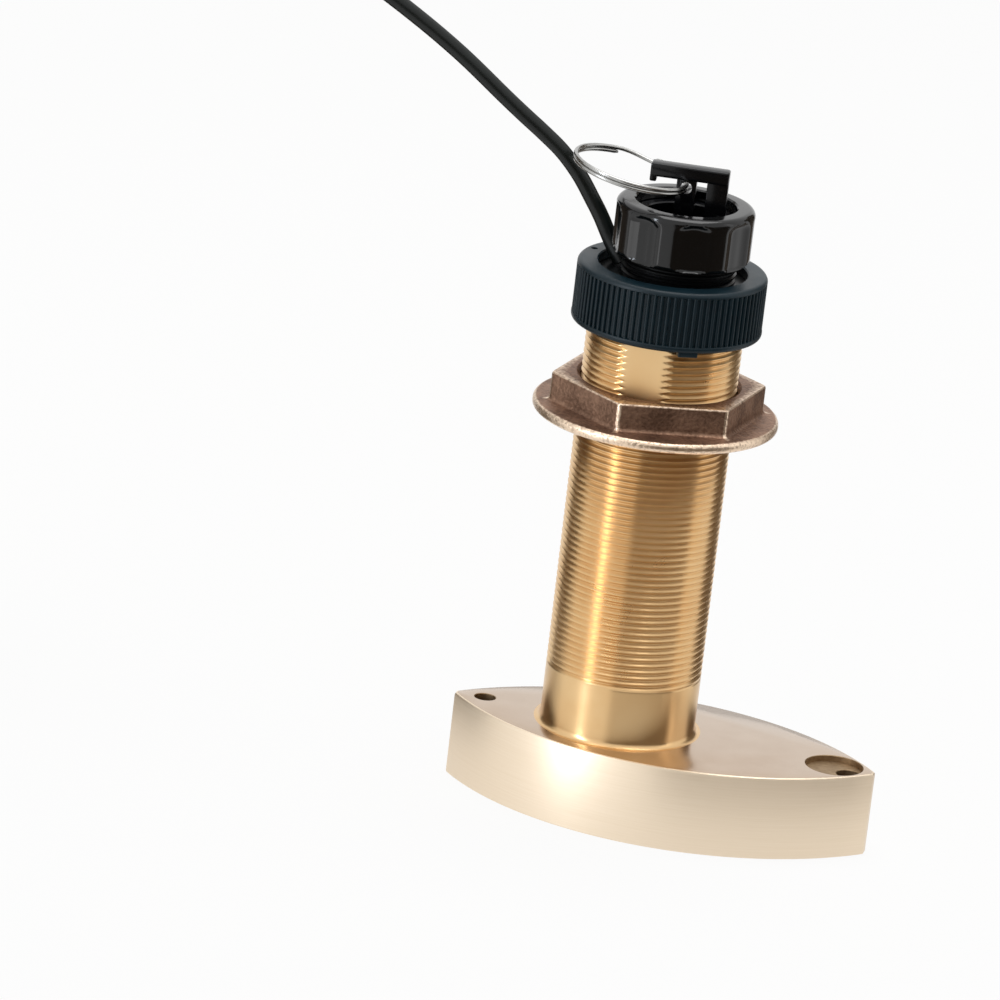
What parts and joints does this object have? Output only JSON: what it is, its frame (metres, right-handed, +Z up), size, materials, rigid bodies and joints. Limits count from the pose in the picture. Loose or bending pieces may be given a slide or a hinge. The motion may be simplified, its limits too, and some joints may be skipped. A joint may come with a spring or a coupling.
{
  "type": "through-hull sonar transducer",
  "caption": "Bronze through-hull sonar transducer: streamlined blade, threaded stem with hull nut, black retaining ring and cap nut, pull-out speed insert with a wire ring, and a tied-up cable.",
  "frame": {"origin": "on the blade's underside, in the middle of the blade's length and width", "axes": "+X along the blade to its long end, +Z up the stem, +Y across the blade away from the milled flat"},
  "size_m": [0.4, 0.0812, 0.2845],
  "materials": {
    "bronze": "machined bronze, polished with fine brushing",
    "nut_bronze": "as-cast bronze, dull, bright on its worn edges",
    "window_resin": "cast resin, flush with the blade",
    "ceramic": "fired ceramic disc, inside",
    "absorber": "cork and rubber absorber, inside",
    "probe_brass": "turned brass",
    "lead_insulation": "insulated wires, inside",
    "black_nylon": "moulded black nylon",
    "ring_plastic": "moulded charcoal plastic, matt",
    "cap_plastic": "moulded black plastic, glossy with a satin rim",
    "insert_plastic": "moulded black plastic, glossy",
    "seal_rubber": "black rubber",
    "sensor_board": "potted sensor, inside",
    "spring_steel": "bright stainless wire",
    "axle_steel": "stainless steel",
    "cable_jacket": "black jacket, slightly shiny",
    "tie_webbing": "hook and loop tie",
    "plug_rubber": "moulded black boot",
    "plug_plastic": "moulded black plastic",
    "contact_brass": "gilt contacts"
  },
  "bodies": {
    "transducer": {"blade": "bronze", "stem": "bronze", "acoustic_window": "window_resin", "piezo_disc": "ceramic", "absorber_disc": "absorber", "temperature_probe": "probe_brass", "inner_lead": "lead_insulation", "sleeve": "black_nylon", "sleeve_gasket": "seal_rubber", "sleeve_seals": "seal_rubber", "speed_sensor": "sensor_board", "cable_gland": "seal_rubber", "cable_rise": "cable_jacket", "cable_coil": "cable_jacket", "cable_tail": "cable_jacket", "coil_ties": "tie_webbing", "plug_boot": "plug_rubber", "plug_body": "plug_plastic", "plug_pins": "contact_brass"},
    "nut": {"hull_nut": "nut_bronze"},
    "ring": {"retaining_ring": "ring_plastic"},
    "insert": {"insert_body": "insert_plastic", "insert_seals": "seal_rubber", "paddle_axle": "axle_steel"},
    "cap": {"cap_nut": "cap_plastic"},
    "pull": {"pull_ring": "spring_steel"},
    "paddle": {"paddlewheel": "insert_plastic", "paddle_magnets": "axle_steel"},
    "coupling": {"plug_nut": "plug_plastic"}
  },
  "joints": [
    {"name": "nut_travel", "type": "slide", "parent": "transducer", "child": "nut", "axis": [0, 0, 1], "range_m": [-0.085, 0.015]},
    {"name": "ring_turn", "type": "hinge", "parent": "transducer", "child": "ring", "pos_m": [-0.016, 0, 0.1745], "axis": [0, 0, 1], "continuous": true},
    {"name": "insert_pull", "type": "slide", "parent": "transducer", "child": "insert", "axis": [0, 0, 1], "range_m": [0, 0.205]},
    {"name": "cap_turn", "type": "hinge", "parent": "insert", "child": "cap", "pos_m": [-0.01403, -0.00035, 0.197], "axis": [0, 0, 1], "continuous": true},
    {"name": "pull_ring_swing", "type": "hinge", "parent": "insert", "child": "pull", "pos_m": [-0.01472, -0.00044, 0.2115], "axis": [-0.1392, 0.9903, 0], "range_deg": [-3, 160]},
    {"name": "paddle_spin", "type": "hinge", "parent": "insert", "child": "paddle", "pos_m": [-0.01403, -0.00035, 0.012], "axis": [0, 1, 0], "continuous": true},
    {"name": "coupling_turn", "type": "hinge", "parent": "transducer", "child": "coupling", "pos_m": [-0.261, 0.03125, 0.0873], "axis": [1, 0, 0], "continuous": true}
  ]
}
